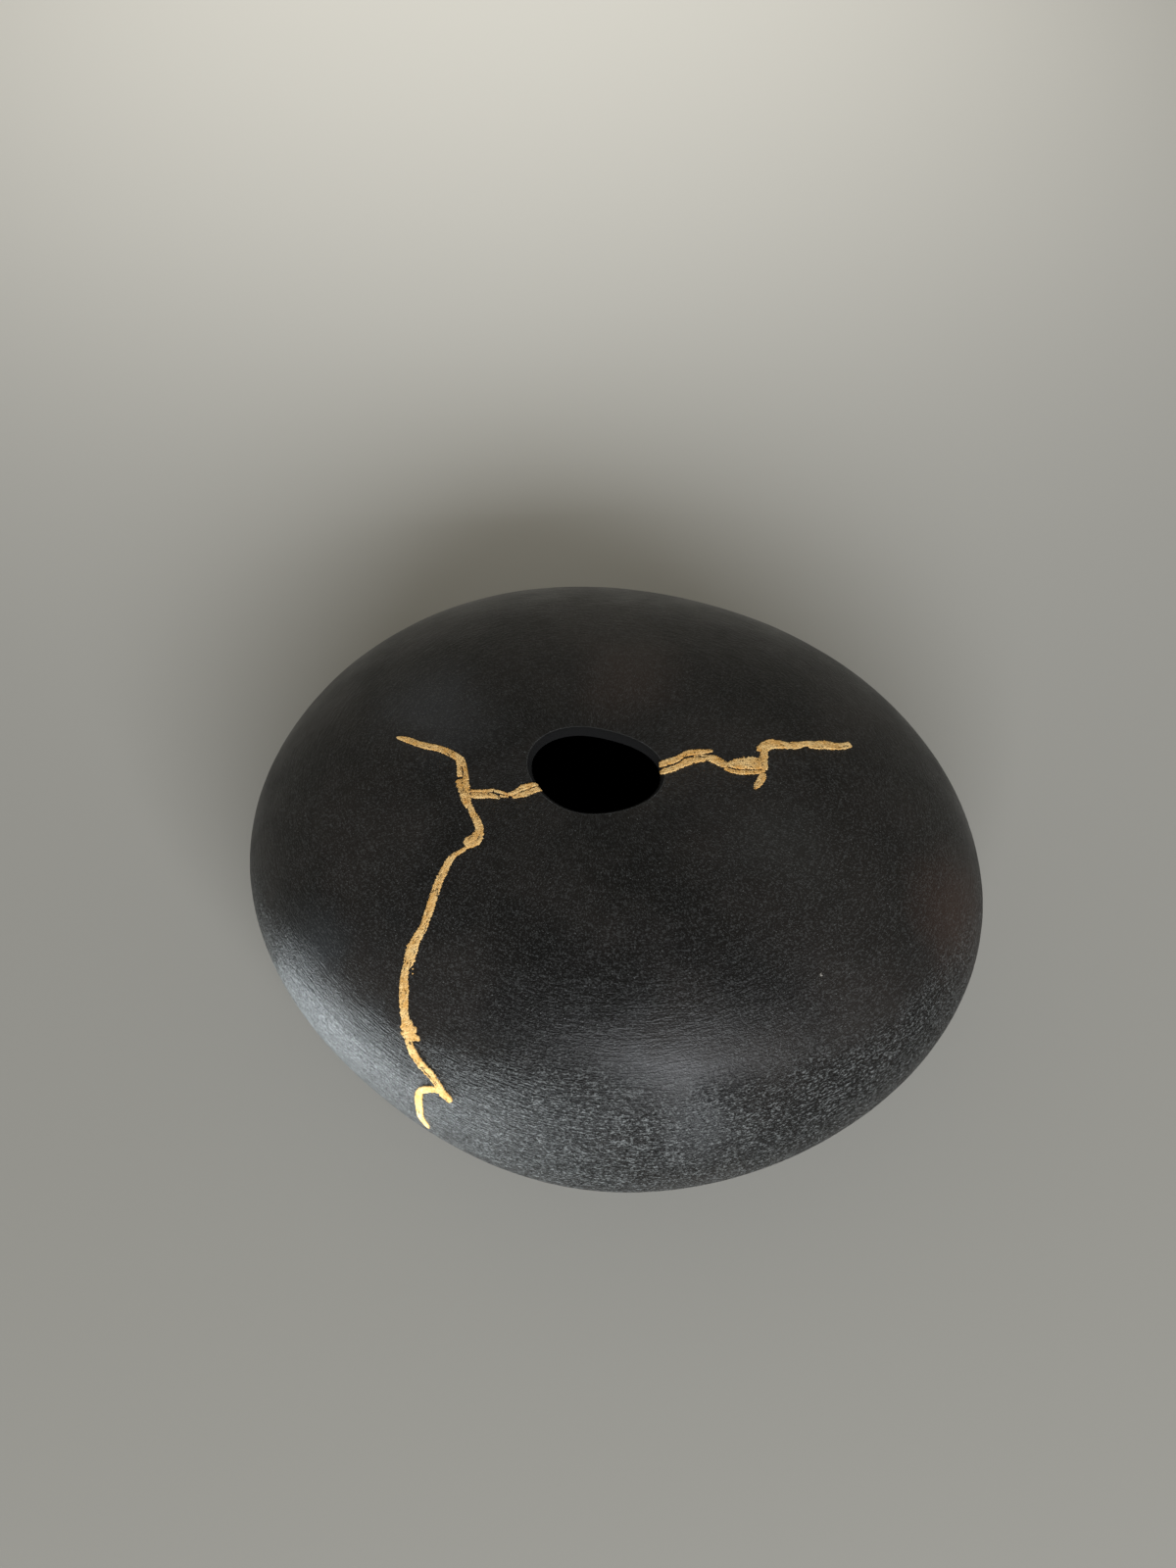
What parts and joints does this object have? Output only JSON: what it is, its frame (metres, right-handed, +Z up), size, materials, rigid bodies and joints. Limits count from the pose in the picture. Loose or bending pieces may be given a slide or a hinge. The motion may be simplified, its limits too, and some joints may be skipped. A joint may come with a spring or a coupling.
{
  "type": "kintsugi vase",
  "caption": "Squat, hand-built black clay vase with a small oval mouth, its cracks mended with raised gilded seams.",
  "frame": {"origin": "on the flat underside, under the middle of the belly", "axes": "+Z up through the mouth, -Y the front, +X to the right hand of someone who faces the front"},
  "size_m": [0.2876, 0.2765, 0.1229],
  "materials": {
    "burnished_black_clay": "burnished, satin",
    "gold_leaf": "gilded lacquer, satin"
  },
  "bodies": {
    "root": {"vase_body": "burnished_black_clay", "gold_seam_left": "gold_leaf", "gold_seam_right": "gold_leaf"}
  },
  "joints": []
}
